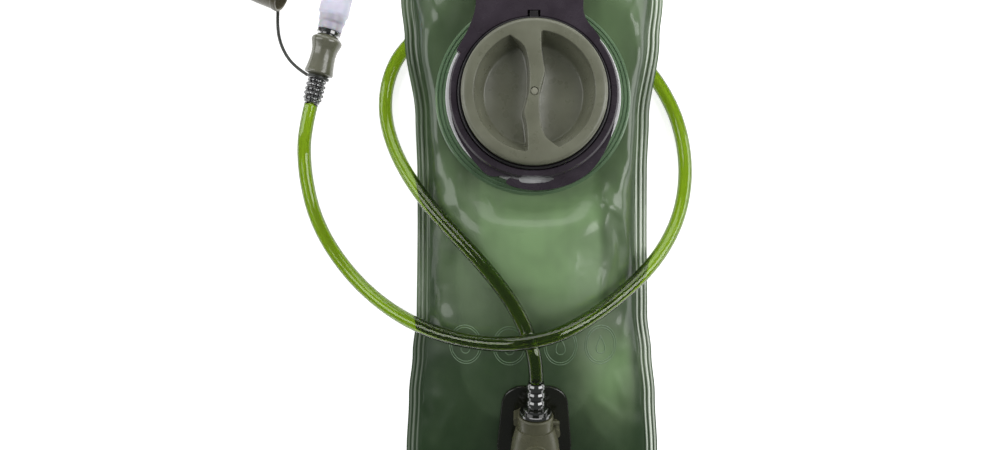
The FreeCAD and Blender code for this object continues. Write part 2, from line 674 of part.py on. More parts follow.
def leash_ring():
    return on_mouthpiece([(5.7, 17.4), (7.4, 17.4), (7.4, 18.7), (5.7, 18.7)])


def dust_cap():
    """Cup for the bite valve."""
    cup = lathe([(10.6, 0.0), (12.2, 0.0), (DUST_CAP_R, 0.6), (DUST_CAP_R, 3.0), (12.0, 3.6),
                 (11.6, 24.0), (10.2, 27.6), (7.0, 29.5), (0, DUST_CAP_L), (0, 28.4), (6.6, 28.0),
                 (9.2, 26.6), (10.4, 23.6)])
    cup.Placement = along(DUST_CAP_MOUTH, DUST_CAP_YAW)
    return cup


def cap_leash():
    """Thin strap, moulded on to the dust cap's wall and to the ring at its ends."""
    strap = swept_tube(LEASH_ROUTE, LEASH_R)[0].cut([dust_cap(), leash_ring()])
    return max(strap.Solids, key=lambda solid: solid.Volume)


NODES = [front_film, back_film, fill_flange, fill_neck, grip_frame, swivel_ring, fill_cap,
         cap_centre_plug, cap_gasket, outlet_base, outlet_backing_ring, outlet_socket,
         release_button, latch_plate, button_spring, hose_plug, plug_o_rings, hose, hose_sleeve,
         valve_body, valve_core, core_o_ring, bite_valve, leash_ring, dust_cap, cap_leash]

os.makedirs("parts", exist_ok=True)
for make in NODES:
    shape = make()
    print("%-20s solids %d valid %s volume %.0f box %s" % (
        make.__name__, len(shape.Solids), shape.isValid(), shape.Volume, shape.BoundBox))
    shape.exportStep("parts/%s.step" % make.__name__)
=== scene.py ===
"""Hydration bladder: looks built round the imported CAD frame. Sizes are in millimetres
and become metres through MM; heights of the films are read from the CAD nodes."""
import math

import bmesh
import bpy
from mathutils import Matrix, Vector, noise
from mathutils.bvhtree import BVHTree


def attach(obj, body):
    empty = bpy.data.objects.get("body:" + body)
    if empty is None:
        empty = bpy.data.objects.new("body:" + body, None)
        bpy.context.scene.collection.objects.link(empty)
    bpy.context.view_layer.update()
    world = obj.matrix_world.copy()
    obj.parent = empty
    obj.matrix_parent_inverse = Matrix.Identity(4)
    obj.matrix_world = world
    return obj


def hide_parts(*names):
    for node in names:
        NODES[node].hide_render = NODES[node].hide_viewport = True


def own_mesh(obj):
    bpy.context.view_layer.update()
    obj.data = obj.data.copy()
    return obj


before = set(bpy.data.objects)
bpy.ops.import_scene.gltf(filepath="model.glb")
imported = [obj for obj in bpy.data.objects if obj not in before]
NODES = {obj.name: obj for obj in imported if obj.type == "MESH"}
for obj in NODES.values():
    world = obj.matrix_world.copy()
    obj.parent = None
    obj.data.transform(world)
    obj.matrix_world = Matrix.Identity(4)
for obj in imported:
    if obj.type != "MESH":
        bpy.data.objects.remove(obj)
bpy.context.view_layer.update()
MM = 0.001

# ---- camera: straight above the bladder, with +Y upwards in its view -------------------
CAMERA_X = -21.0
CAMERA_Z = 520.0
HALF_VIEW = 343.2         # half the width of floor that the camera takes in
SENSOR_W = 36.0

# ---- softboxes, aimed at the origin: name, place and size in metres, power in watts ---------
SOFTBOXES = [("left_box", (-1.0, 0.25, 0.8), (0.6, 1.2), 7.5),
             ("right_box", (1.0, 0.15, 0.8), (0.6, 1.2), 11.0),
             ("head_box", (0.0, 1.35, 0.7), (1.6, 0.9), 10.0)]
FLOOR_HALF = 3000.0

# ---- hose: the route's points, the same as the tube's ------------------------------------
HOSE_R = 4.6
HOSE_BORE_R = 3.2
HOSE_ROUTE = [
    (1.2, -96.2, 53.9), (1.0, -85.6, 56.8), (-2.0, -72.6, 57.2), (-8.0, -57.5, 54.2),
    (-18.0, -41.5, 52.0), (-32.6, -23.6, 49.6), (-49.7, -5.8, 44.0), (-66.5, 12.4, 35.0),
    (-82.0, 33.0, 25.0), (-93.6, 54.8, 13.0), (-99.4, 76.4, 6.0), (-97.8, 97.5, 4.7),
    (-89.0, 117.5, 4.7), (-70.0, 134.5, 4.7), (-42.0, 146.5, 4.7), (-8.0, 150.5, 4.7),
    (27.0, 145.5, 4.7), (58.0, 128.5, 4.7), (82.2, 104.0, 4.7), (96.8, 79.6, 4.7),
    (103.4, 56.7, 5.5), (104.6, 33.2, 8.5), (99.9, 9.8, 14.0), (89.5, -10.5, 23.0),
    (74.0, -29.0, 33.5), (52.3, -46.4, 44.5), (30.0, -59.0, 60.5), (10.8, -67.2, 67.8),
    (-13.9, -71.7, 67.8), (-38.9, -71.9, 55.5), (-63.0, -68.2, 40.0), (-89.0, -58.6, 24.0),
    (-113.8, -42.2, 9.5), (-133.2, -20.3, 4.8), (-145.9, 2.8, 4.7), (-152.4, 27.0, 4.7),
    (-154.3, 50.0, 6.4), (-151.5, 67.2, 10.3), (-147.9, 81.6, 10.6)]
LEASH_R = 1.1
LEASH_ROUTE = [(-171.6, 145.6, 6.2), (-173.0, 137.5, 2.6), (-172.0, 127.0, 2.0),
               (-168.0, 117.0, 2.2), (-160.4, 107.6, 4.8), (-150.8, 101.1, 10.0)]

# ---- bladder outline, the same stations as the films' --------------------------------------
LENGTH = 350.0
CORNER_R = 24.0
HALF_WIDTHS = [(-175, 81.0), (-148, 82.5), (-112, 81.0), (-84, 78.5), (-58, 75.8),
               (0, 75.2), (35, 75.3), (70, 76.4), (122, 83.5), (148, 86.0), (175, 84.5)]
SEAM_Z = 21.0
FILM_HALF_T = 0.8         # from the seam to the outside of each film where they meet
PORT_Y = 81.5
PORT_HOLE_R = 60.0        # inside it the weld flange lies over the film
PORT_SEAT_Z = 34.9
PORT_FLAT_R = 62.0        # round the flange the film is tight up to here
PORT_SLACK_R = 76.0       # and fully slack from here
PLATE_CENTRE = (1.0, -131.0)
PLATE_HALF = (27.0, 32.0)
HANG_HOLE_R = 4.0
HANG_HOLE_X = 62.0
HANG_HOLE_Y = 169.0
MOUTH_START = (-147.9, 81.7, 10.6)
MOUTH_YAW = -14.0
DUST_CAP_MOUTH = (-166.4, 154.8, 12.8)
DUST_CAP_YAW = 69.1
SLEEVE_L = 19.0
SLEEVE_BORE_R = 3.3
RIB_COUNT = 5
RIB_PITCH = 3.05
FIRST_RIB_S = 2.0
KNURL_CORE_R = 4.6        # nothing inside this radius is notched
BITE_START = 50.4
BITE_LENGTH = 36.8
BITE_TIP = 87.2
BITE_LEVELS = 60
# the soft valve's outside: place along it, half width, half thickness
BITE_STATIONS = [(50.4, 7.6, 7.6), (51.2, 8.1, 8.1), (55.0, 8.1, 8.1), (57.0, 9.0, 9.0),
                 (60.0, 9.1, 9.1), (62.2, 10.0, 10.0), (66.0, 10.0, 10.0), (71.0, 9.9, 9.0),
                 (78.0, 10.2, 7.2), (84.0, 10.2, 6.2), (87.2, 9.6, 5.6)]


# ---- scene helpers --------------------------------------------------------------------------
BEVEL_ANGLE = 32.0        # degrees; edges sharper than this are rounded
FLAT_ANGLE = 0.8          # degrees; faces closer than this become one
MERGE_DISTANCE = 0.002


def circle(radius, count):
    """Points of a circle round the origin."""
    angles = [2 * math.pi * k / count for k in range(count)]
    return [(radius * math.cos(a), radius * math.sin(a)) for a in angles]


def link(obj):
    bpy.context.scene.collection.objects.link(obj)
    return obj


def mesh_object(name, verts, faces, smooth_angle=None):
    """Object from points in millimetres; edges sharper than the angle stay sharp."""
    mesh = bpy.data.meshes.new(name)
    mesh.from_pydata([[c * MM for c in v] for v in verts], [], faces)
    mesh.validate()
    mesh.shade_smooth()
    if smooth_angle is not None:
        mesh.set_sharp_from_angle(angle=math.radians(smooth_angle))
    return link(bpy.data.objects.new(name, mesh))


def lathe(name, profile, segments=96, smooth_angle=38):
    """Surface turned about Z from (radius, z) points; radius 0 closes it."""
    verts, faces = [], []
    rings = []
    for r, z in profile:
        if r <= 0:
            rings.append([len(verts)] * segments)
            verts.append((0, 0, z))
            continue
        rings.append(list(range(len(verts), len(verts) + segments)))
        verts += [(x, y, z) for x, y in circle(r, segments)]
    for low, high in zip(rings, rings[1:]):
        for k in range(segments):
            m = (k + 1) % segments
            face = [low[k], low[m], high[m], high[k]]
            unique = list(dict.fromkeys(face))
            if len(unique) > 2:
                faces.append(unique)
    return mesh_object(name, verts, faces, smooth_angle)


def rounded(profile, radius=0.5, steps=3):
    """The profile with each inner corner rounded off; its two ends stay."""
    out = [profile[0]]
    for before, here, after in zip(profile, profile[1:], profile[2:]):
        a, b, c = Vector(before), Vector(here), Vector(after)
        cut = min(radius, 0.42 * (a - b).length, 0.42 * (c - b).length)
        if cut < 0.02:
            out.append(here)
            continue
        start = b + (a - b).normalized() * cut
        end = b + (c - b).normalized() * cut
        for i in range(steps + 1):
            t = i / steps
            point = start * (1 - t) ** 2 + b * 2 * t * (1 - t) + end * t * t
            out.append((point.x, point.y))
    out.append(profile[-1])
    return out


def lay_along(obj, start, yaw):
    """Turns a lathed piece from +Z onto a level axis through start."""
    turn = Matrix.Rotation(math.radians(yaw), 4, "Z") @ Matrix.Rotation(math.radians(-90), 4, "X")
    place = Matrix.Translation(Vector(start) * MM) @ turn
    obj.data.transform(place)
    return obj


def softened(node, width, segments):
    """A copy of a CAD node with its edges rounded, shown in the node's place."""
    mesh = NODES[node].data.copy()
    mesh.materials.clear()
    if "custom_normal" in mesh.attributes:
        mesh.attributes.remove(mesh.attributes["custom_normal"])
    bm = bmesh.new()
    bm.from_mesh(mesh)
    bmesh.ops.remove_doubles(bm, verts=bm.verts, dist=MERGE_DISTANCE * MM)
    bmesh.ops.dissolve_limit(bm, angle_limit=math.radians(FLAT_ANGLE), verts=bm.verts,
                             edges=bm.edges)
    bm.to_mesh(mesh)
    bm.free()
    mesh.shade_smooth()
    piece = link(bpy.data.objects.new(node + "_soft", mesh))
    bevel = piece.modifiers.new("edges", "BEVEL")
    bevel.width = width * MM
    bevel.segments = segments
    bevel.limit_method = "ANGLE"
    bevel.angle_limit = math.radians(BEVEL_ANGLE)
    bevel.harden_normals = True
    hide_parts(node)
    return piece


# ---- materials --------------------------------------------------------------------------------
NOISE_SPAN = (0.3, 0.7)   # the values that most of a noise texture lies between
NOISE_ROUGHNESS = 0.55
CLOUD_SCALE = 55.0
WEAR_SCALE = 140.0
SPARK_SCALE = 2600.0
SPARK_DEPTH = 0.02


class Look:
    """A Principled material with room for procedural colour, roughness and bump."""

    def __init__(self, name, **sockets):
        self.material = bpy.data.materials.new(name)
        self.material.use_nodes = True
        self.tree = self.material.node_tree
        self.shader = self.tree.nodes["Principled BSDF"]
        self.height = None
        for key, value in sockets.items():
            self.shader.inputs[key.replace("_", " ")].default_value = value

    def node(self, kind, **values):
        made = self.tree.nodes.new(kind)
        for key, value in values.items():
            if key in made.inputs:
                made.inputs[key].default_value = value
            else:
                setattr(made, key, value)
        return made

    def wire(self, a, out, b, into):
        self.tree.links.new(a.outputs[out], b.inputs[into])

    def place(self, stretch=(1, 1, 1)):
        """Object coordinates, stretched; the grain keeps its size on every piece."""
        coords = self.node("ShaderNodeTexCoord")
        mapping = self.node("ShaderNodeMapping", Scale=stretch)
        self.wire(coords, "Object", mapping, "Vector")
        return mapping

    def grain(self, scale, detail=3.0, stretch=(1, 1, 1)):
        noise_node = self.node("ShaderNodeTexNoise", Scale=scale, Detail=detail,
                               Roughness=NOISE_ROUGHNESS)
        self.wire(self.place(stretch), "Vector", noise_node, "Vector")
        return noise_node

    def ramp(self, source, stops):
        """Colours at the stops (value, colour) of the source's factor."""
        ramp = self.node("ShaderNodeValToRGB")
        elements = ramp.color_ramp.elements
        while len(elements) < len(stops):
            elements.new(0.5)
        for element, (position, colour) in zip(elements, stops):
            element.position = position
            element.color = (*colour, 1)
        self.wire(source, "Fac", ramp, "Fac")
        return ramp

    def colour(self, source, dark, light, span=NOISE_SPAN):
        """Base colour from dark to light over the span of the source's factor."""
        stops = list(zip(span, (dark, light)))
        self.wire(self.ramp(source, stops), "Color", self.shader, "Base Color")

    def vary_roughness(self, source, low, high):
        spread_node = self.node("ShaderNodeMapRange")
        limits = zip(("From Min", "From Max", "To Min", "To Max"), (*NOISE_SPAN, low, high))
        for name, value in limits:
            spread_node.inputs[name].default_value = value
        self.wire(source, "Fac", spread_node, "Value")
        self.wire(spread_node, "Result", self.shader, "Roughness")

    def bump(self, source, depth):
        """Adds relief of that depth in millimetres on top of what is there."""
        made = self.node("ShaderNodeBump", Strength=1.0, Distance=depth * MM)
        made.inputs["Filter Width"].default_value = 1.0
        self.wire(source, "Fac", made, "Height")
        if self.height:
            self.wire(self.height, "Normal", made, "Normal")
        self.height = made
        self.wire(made, "Normal", self.shader, "Normal")

    def put_on(self, *objects):
        for obj in objects:
            obj.data.materials.clear()
            obj.data.materials.append(self.material)


def plastic(name, dark, light, roughness, **extra):
    """Moulded plastic: cloudy colour, fine spark-eroded grain and handling wear."""
    look = Look(name, Roughness=roughness, **extra)
    look.colour(look.grain(CLOUD_SCALE, 4.0), dark, light)
    look.vary_roughness(look.grain(WEAR_SCALE), roughness - 0.06, roughness + 0.08)
    look.bump(look.grain(SPARK_SCALE, 2.0), SPARK_DEPTH)
    return look


# ---- camera, floor and light -----------------------------------------------------------------
def camera():
    data = bpy.data.cameras.new("camera")
    data.sensor_width = SENSOR_W
    data.lens = SENSOR_W / 2 * CAMERA_Z / HALF_VIEW
    data.clip_start = 0.02
    obj = link(bpy.data.objects.new("camera", data))
    obj.location = (CAMERA_X * MM, 0, CAMERA_Z * MM)
    bpy.context.scene.camera = obj


def softbox(name, place, size, power):
    """Rectangular area light turned towards the origin."""
    data = bpy.data.lights.new(name, "AREA")
    data.shape = "RECTANGLE"
    data.size, data.size_y = size
    data.energy = power
    obj = link(bpy.data.objects.new(name, data))
    obj.location = place
    aim = Vector() - Vector(place)
    obj.rotation_euler = aim.to_track_quat("-Z", "Y").to_euler()


def studio():
    corners = [(x * FLOOR_HALF, y * FLOOR_HALF, 0) for x, y in ((-1, -1), (1, -1), (1, 1), (-1, 1))]
    floor = mesh_object("floor", corners, [(0, 1, 2, 3)])
    look = Look("floor", Base_Color=(0.9, 0.9, 0.9, 1), Roughness=0.7,
                Emission_Color=(1, 1, 1, 1), Emission_Strength=0.8)
    look.bump(look.grain(400.0), 0.02)
    look.put_on(floor)
    world = bpy.data.worlds.new("studio")
    world.use_nodes = True
    background = world.node_tree.nodes["Background"]
    background.inputs["Color"].default_value = (0.93, 0.96, 1.0, 1)
    background.inputs["Strength"].default_value = 0.17
    bpy.context.scene.world = world
    for box in SOFTBOXES:
        softbox(*box)
    bpy.context.scene.view_settings.view_transform = "Standard"


# ---- hose -------------------------------------------------------------------------------------
def spline_object(name, route, resolution=16):
    """A smooth curve with the route's points as its control points."""
    curve = bpy.data.curves.new(name, "CURVE")
    curve.dimensions = "3D"
    curve.resolution_u = resolution
    curve.use_fill_caps = False
    spline = curve.splines.new("NURBS")
    spline.points.add(len(route) - 1)
    for point, (x, y, z) in zip(spline.points, route):
        point.co = (x * MM, y * MM, z * MM, 1)
    spline.order_u = 3
    spline.use_endpoint_u = True
    return link(bpy.data.objects.new(name, curve))


def curve_mesh(obj, radius, sides=10):
    """The curve's mesh with a round section, or its centreline when radius is 0."""
    obj.data.bevel_depth = radius * MM
    obj.data.bevel_resolution = sides
    bpy.context.view_layer.update()
    graph = bpy.context.evaluated_depsgraph_get()
    return bpy.data.meshes.new_from_object(obj.evaluated_get(graph))


def hose_mesh():
    """A tube with an outer and an inner wall along one spline, and the spline's points."""
    guide = spline_object("hose_guide", HOSE_ROUTE)
    path = [v.co.copy() for v in curve_mesh(guide, 0).vertices]
    outer = curve_mesh(guide, HOSE_R)
    inner = curve_mesh(guide, HOSE_BORE_R)
    bpy.data.objects.remove(guide)
    bm = bmesh.new()
    bm.from_mesh(inner)
    bmesh.ops.reverse_faces(bm, faces=bm.faces)
    bm.from_mesh(outer)
    for end in (path[0], path[-1]):
        rim = [e for e in bm.edges if e.is_boundary
               and (e.verts[0].co - end).length < 3 * HOSE_R * MM]
        bmesh.ops.bridge_loops(bm, edges=rim)
    mesh = bpy.data.meshes.new("drinking_hose")
    bm.to_mesh(mesh)
    bm.free()
    mesh.shade_smooth()
    return mesh, path


def hose_look():
    """Clear tube whose wall takes out red and blue light."""
    look = Look("hose", Roughness=0.05, IOR=1.42, Transmission_Weight=1.0,
                Coat_Weight=0.3, Coat_Roughness=0.06, Coat_IOR=1.5)
    look.colour(look.grain(9.0, 1.0), (0.81, 0.90, 0.67), (0.84, 0.92, 0.70), (0.2, 0.8))
    look.bump(look.grain(1400.0, 1.0), 0.004)
    wall = look.node("ShaderNodeVolumeAbsorption", Color=(0.745, 0.80, 0.20, 1), Density=2000.0)
    look.wire(wall, "Volume", look.tree.nodes["Material Output"], "Volume")
    return look


def hose():
    mesh, path = hose_mesh()
    tube = link(bpy.data.objects.new("drinking_hose", mesh))
    hose_look().put_on(tube)
    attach(tube, "root")
    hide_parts("hose")
    return tube, path


# ---- mouthpiece -------------------------------------------------------------------------------
def knurl(piece, start, end, pitch, lobes, depth):
    """Cuts lengthwise notches between the lobes, staggered from one rib to the next."""
    for v in piece.data.vertices:
        if not start * MM < v.co.z < end * MM:
            continue
        if math.hypot(v.co.x, v.co.y) < KNURL_CORE_R * MM:
            continue
        rib = int((v.co.z / MM - start) / pitch)
        angle = math.atan2(v.co.y, v.co.x) * lobes + math.pi * rib
        shrink = 1 - depth * (0.5 - 0.5 * math.cos(angle)) ** 4
        v.co.x *= shrink
        v.co.y *= shrink


def hose_sleeve():
    """Soft sleeve with ribs that are highest at its middle."""
    profile = [(SLEEVE_BORE_R, 0.2), (5.0, 0.2), (5.4, 0.9)]
    for i in range(RIB_COUNT):
        s = FIRST_RIB_S + RIB_PITCH * i
        swell = 5.9 + 0.7 * math.sin(math.pi * (i + 1) / (RIB_COUNT + 1))
        profile += [(swell - 1.0, s), (swell, s + 0.5), (swell, s + 2.0), (swell - 1.0, s + 2.5)]
    profile += [(5.5, 17.3), (5.5, SLEEVE_L), (SLEEVE_BORE_R, SLEEVE_L)]
    piece = lathe("hose_sleeve_ribbed", rounded(profile, 0.35), segments=140, smooth_angle=60)
    knurl(piece, start=1.6, end=17.0, pitch=RIB_PITCH, lobes=8, depth=0.15)
    lay_along(piece, MOUTH_START, MOUTH_YAW)
    plastic("sleeve", (0.003, 0.004, 0.003), (0.008, 0.010, 0.007), 0.14,
            Coat_Weight=1.0, Coat_Roughness=0.03, Coat_IOR=1.9).put_on(piece)
    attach(piece, "root")
    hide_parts("hose_sleeve")
    return piece


def valve_body(look):
    """Waisted body that the soft valve turns in."""
    profile = [(SLEEVE_BORE_R, SLEEVE_L), (5.6, SLEEVE_L), (7.0, 19.6), (9.2, 20.4), (9.4, 21.2),
               (9.0, 24.0), (8.4, 29.0), (8.15, 33.0), (8.5, 37.0), (9.6, 40.6), (10.1, 42.0),
               (10.1, 43.6), (9.4, 44.6), (7.4, 46.2), (6.6, 46.8), (5.6, 46.8), (5.6, 23.0)]
    piece = lathe("valve_body_shell", rounded(profile, 0.55), segments=64)
    lay_along(piece, MOUTH_START, MOUTH_YAW)
    look.put_on(piece)
    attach(piece, "root")
    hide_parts("valve_body")
    return piece


def bite_point(s, angle):
    """Point of the soft valve's outside at s along it, at the angle round it."""
    pairs = zip(BITE_STATIONS, BITE_STATIONS[1:])
    (s0, a0, b0), (s1, a1, b1) = next((p for p in pairs if s <= p[1][0]), BITE_STATIONS[-2:])
    f = min(max((s - s0) / (s1 - s0), 0), 1)
    f = f * f * (3 - 2 * f)
    return ((a0 + (a1 - a0) * f) * math.cos(angle), (b0 + (b1 - b0) * f) * math.sin(angle), s)


def silicone_look():
    look = Look("silicone", Roughness=0.34, IOR=1.41, Transmission_Weight=0.4,
                Subsurface_Weight=0.4, Subsurface_Scale=0.004)
    look.colour(look.grain(70.0, 2.0, (1, 0.3, 1)), (0.74, 0.73, 0.88), (0.90, 0.90, 0.97))
    look.vary_roughness(look.grain(300.0), 0.28, 0.42)
    look.bump(look.grain(120.0), 0.1)
    return look


def bite_valve():
    """Soft silicone mouthpiece with a flattened tip, dished in its middle."""
    segments, verts, faces = 72, [], []
    levels = [BITE_START + BITE_LENGTH * i / BITE_LEVELS for i in range(BITE_LEVELS + 1)]
    for s in levels:
        for k in range(segments):
            verts.append(bite_point(s, 2 * math.pi * k / segments))
    closing = [(0.93, 0.5), (0.75, 0.85), (0.5, 0.8), (0.25, 0.2), (0.0, -0.5)]
    for shrink, rise in closing:
        for k in range(segments):
            x, y, s = bite_point(BITE_TIP, 2 * math.pi * k / segments)
            verts.append((x * (shrink * 0.9 + 0.1), y * shrink, s + rise))
    for j in range(len(levels) + len(closing) - 1):
        for k in range(segments):
            m = (k + 1) % segments
            a, b = j * segments, (j + 1) * segments
            faces.append((a + k, a + m, b + m, b + k))
    piece = mesh_object("bite_valve_soft", verts, faces, 50)
    lay_along(piece, MOUTH_START, MOUTH_YAW)
    silicone_look().put_on(piece)
    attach(piece, "mouth_valve")
    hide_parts("bite_valve")
    return piece


def dust_cap(look):
    """Thin cup with a rolled rim, open towards the bite valve's side."""
    profile = [(0, 28.4), (6.6, 28.0), (9.2, 26.6), (10.4, 23.6), (10.6, 0.3), (11.0, 0.0),
               (12.0, 0.0), (12.5, 0.6), (12.5, 3.0), (12.0, 3.6), (11.6, 24.0), (10.2, 27.6),
               (7.0, 29.5), (0, 30.0)]
    piece = lathe("dust_cap_cup", rounded(profile, 0.9), segments=72)
    lay_along(piece, DUST_CAP_MOUTH, DUST_CAP_YAW)
    look.put_on(piece)
    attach(piece, "cover")
    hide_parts("dust_cap")
    return piece


def cap_leash(look):
    """Round cord from the leash ring to the dust cap."""
    guide = spline_object("leash_guide", LEASH_ROUTE)
    mesh = curve_mesh(guide, LEASH_R, 5)
    bpy.data.objects.remove(guide)
    mesh.shade_smooth()
    piece = link(bpy.data.objects.new("cap_leash_cord", mesh))
    look.put_on(piece)
    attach(piece, "cover")
    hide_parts("cap_leash")
    return piece


# ---- bladder skin -------------------------------------------------------------------------------
def half_width(y):
    for (y0, w0), (y1, w1) in zip(HALF_WIDTHS, HALF_WIDTHS[1:]):
        if y <= y1:
            f = (y - y0) / (y1 - y0)
            return w0 + (w1 - w0) * f * f * (3 - 2 * f)
    return HALF_WIDTHS[-1][1]


def corner_loss(y):
    """How far the rounded corner has drawn the edge in at y."""
    into = abs(y) - (LENGTH / 2 - CORNER_R)
    if into <= 0:
        return 0.0
    return CORNER_R - math.sqrt(max(CORNER_R ** 2 - into ** 2, 0.0))


def edge_distance(x, y):
    """Distance in from the bladder's rounded outline."""
    across = half_width(y) - abs(x)
    down = LENGTH / 2 - abs(y)
    if across < CORNER_R and down < CORNER_R:
        return CORNER_R - math.hypot(CORNER_R - across, CORNER_R - down)
    return min(across, down)


def bump_at(d, centre, width):
    """Bell curve of height 1."""
    return math.exp(-((d - centre) / width) ** 2)


# three raised weld lines and the grooves beside them: height, distance in, width
WELD_LINES = [(0.55, 1.5, 0.6), (0.85, 3.9, 0.8), (0.6, 6.8, 0.55),
              (-0.3, 2.7, 0.4), (-0.35, 5.4, 0.5), (-0.5, 8.6, 0.9)]


def weld_relief(d):
    return sum(height * bump_at(d, centre, width) for height, centre, width in WELD_LINES)


def fade(distance, full, none):
    """1 up to the distance full, 0 from the distance none, smooth between them."""
    f = min(max((distance - full) / (none - full), 0.0), 1.0)
    return 1 - f * f * (3 - 2 * f)


def soft_noise(x, y, seed):
    return noise.noise(Vector((x, y, seed)))


# slack folds: start, end, half width, height
FOLDS = [((-49, 38), (-47, 8), 3.5, 1.3), ((-52, 6), (-56, -28), 4.5, 1.0),
         ((45, 28), (50, -24), 4.0, 1.4), ((57, 34), (61, -22), 3.5, 1.2),
         ((50, -20), (43, -48), 4.0, 1.1), ((42, 14), (58, 5), 2.2, 0.9),
         ((62, -30), (58, -74), 3.5, 1.1), ((-58, -40), (-62, -92), 4.0, 1.1),
         ((38, -108), (58, -128), 3.2, 1.0), ((30, -118), (50, -142), 3.2, 0.9),
         ((52, -96), (60, -116), 3.0, 0.9), ((-50, -112), (-60, -140), 3.6, 0.9),
         ((-24, 9), (-31, 21), 2.0, 0.6), ((-68, 92), (-70, 40), 3.0, 1.0),
         ((68, 96), (69, 44), 3.0, 1.0), ((-66, 150), (-58, 128), 3.0, 1.1),
         ((66, 152), (60, 130), 3.0, 1.1)]


def fold_height(x, y):
    """Sum of the slack folds at (x, y), each a wavering ridge that fades at its ends."""
    total = 0.0
    for (x0, y0), (x1, y1), width, height in FOLDS:
        if abs(x - (x0 + x1) / 2) > 26 or abs(y - (y0 + y1) / 2) > 42:
            continue
        dx, dy = x1 - x0, y1 - y0
        length = math.hypot(dx, dy)
        along = ((x - x0) * dx + (y - y0) * dy) / length
        across = ((x - x0) * dy - (y - y0) * dx) / length
        across += 2.2 * soft_noise(along * 0.07, height * 9, 4.4)
        inside = 1 - fade(along, -4.0, 8.0)
        inside *= fade(along, length - 8.0, length + 4.0)
        total += height * inside * math.exp(-(across / width) ** 2)
    return total


def wrinkles(x, y, d):
    """Folds that run in from the welds and slack ones along the sides."""
    side = 7.3 if x > 0 else -7.3
    pucker = soft_noise(side + d * 0.02, y * 0.075, 3.1)
    along = soft_noise(x * 0.11, y * 0.022, 9.7)
    broad = soft_noise(x * 0.018, y * 0.016, 1.7)
    near = bump_at(d, 15.0, 9.0)
    port = math.hypot(x, y - PORT_Y)
    free = 1 - fade(port, PORT_FLAT_R, PORT_SLACK_R)
    plate_x = abs(x - PLATE_CENTRE[0]) / PLATE_HALF[0]
    plate_y = abs(y - PLATE_CENTRE[1]) / PLATE_HALF[1]
    plate = 1 - fade(max(plate_x, plate_y), 1.0, 1.5)
    slack = 1.5 * near * pucker + 1.3 * along * bump_at(d, 18.0, 14.0) + 1.0 * broad
    slack += fold_height(x, y)
    return slack * free * plate * (1 - fade(d, 8.0, 11.0))


def blob(x, y, centre, reach):
    """Soft round patch of height 1 at its centre."""
    return math.exp(-((x - centre[0]) / reach[0]) ** 2 - ((y - centre[1]) / reach[1]) ** 2)


def depth_and_painted_light(x, y, d):
    """0 for painted shade where the pouch looks deep and dark, 1 for painted light where light comes
    back through it: a pale patch of reflected light in the middle, lighter spots at the lower right
    and left, darker towards the bottom and at the upper left, and a painted dark band just inside the
    welds; noise adds random tone.
    """
    # painted light: body is the pale patch of reflected softbox light in the middle; base, upper,
    # corner and left add painted lighter areas and leave painted shade towards the bottom and at the
    # upper left
    low = 14.0 + 0.36 * (x + 37)
    body = fade(abs(x - 4.5) / 41.5, 0.86, 1.10) * fade(-y, low, low + 45.0) * fade(y, 30.0, 46.0)
    body *= 0.64 + 0.36 * blob(x, y, (14, -14), (34, 40))
    base = 0.42 * fade(-y, 26.0, 92.0) * (1 - 0.4 * fade(-y, -110.0, -80.0) * fade(x, -40.0, 0.0))
    upper = 0.52 * fade(-x, -40.0, -15.0) * (1 - fade(y, 100.0, 118.0))
    corner = 1.1 * blob(x, y, (52, -92), (20, 30))
    left = 0.42 * blob(x, y, (-54, -8), (14, 42))
    cloud = 0.5 + 0.7 * soft_noise(x * 0.05, y * 0.05, 2.2) + 0.3 * soft_noise(x * 0.16, y * 0.12, 6.1)
    mixed = max(body, base, upper, corner, left) * (0.80 + 0.28 * cloud) + 0.08 * cloud
    # painted shade: a dark band just inside the welds
    rim_painted_shade = 1 - 0.8 * bump_at(d, 11.0, 4.0)
    return min(max(mixed * rim_painted_shade, 0.0), 1.0)


def spread(count, border, border_count):
    """Stations from -1 to 1, with border_count steps in the border at each end."""
    inner = [-1 + border + (2 - 2 * border) * i / count for i in range(count + 1)]
    rim = [-1 + border * i / border_count for i in range(border_count)]
    return rim + inner + [-v for v in reversed(rim)]


def skin_points(columns, rows):
    """Points of the front and then of the back, with each one's painted weld highlight value and its
    painted light and shade value.
    """
    tops = BVHTree.FromObject(NODES["front_film"], bpy.context.evaluated_depsgraph_get())
    unders = BVHTree.FromObject(NODES["back_film"], bpy.context.evaluated_depsgraph_get())
    verts, welds, patches = [], [], []
    for under in (False, True):
        for y in rows:
            width = half_width(y) - corner_loss(y)
            for c in columns:
                x = c * width
                d = edge_distance(x, y)
                verts.append((x, y, skin_height(x, y, d, tops, unders, under)))
                # painted highlight: the weld lines are painted pale for the glints on their ridges,
                # brighter on the right where the right softbox lights them
                lit = 0.60 + 0.40 * math.tanh(x / 20)
                welds.append(lit * min(max(weld_relief(d) * 1.7 - 0.1, 0), 1) * fade(d, 7.6, 8.2))
                patches.append(depth_and_painted_light(x, y, d))
    return verts, welds, patches


def skin_faces(n, m):
    """Faces of two grids of n by m points, and the band that joins their borders."""
    faces = []
    for j in range(m - 1):
        for i in range(n - 1):
            a = j * n + i
            b = a + n * m
            faces.append((a, a + 1, a + n + 1, a + n))
            faces.append((b + n, b + n + 1, b + 1, b))
    border = [j * n for j in range(m)] + [(m - 1) * n + i for i in range(1, n)]
    border += [j * n + n - 1 for j in range(m - 2, -1, -1)] + list(range(n - 2, 0, -1))
    for a, b in zip(border, border[1:] + border[:1]):
        faces.append((a, b, b + n * m, a + n * m))
    return faces


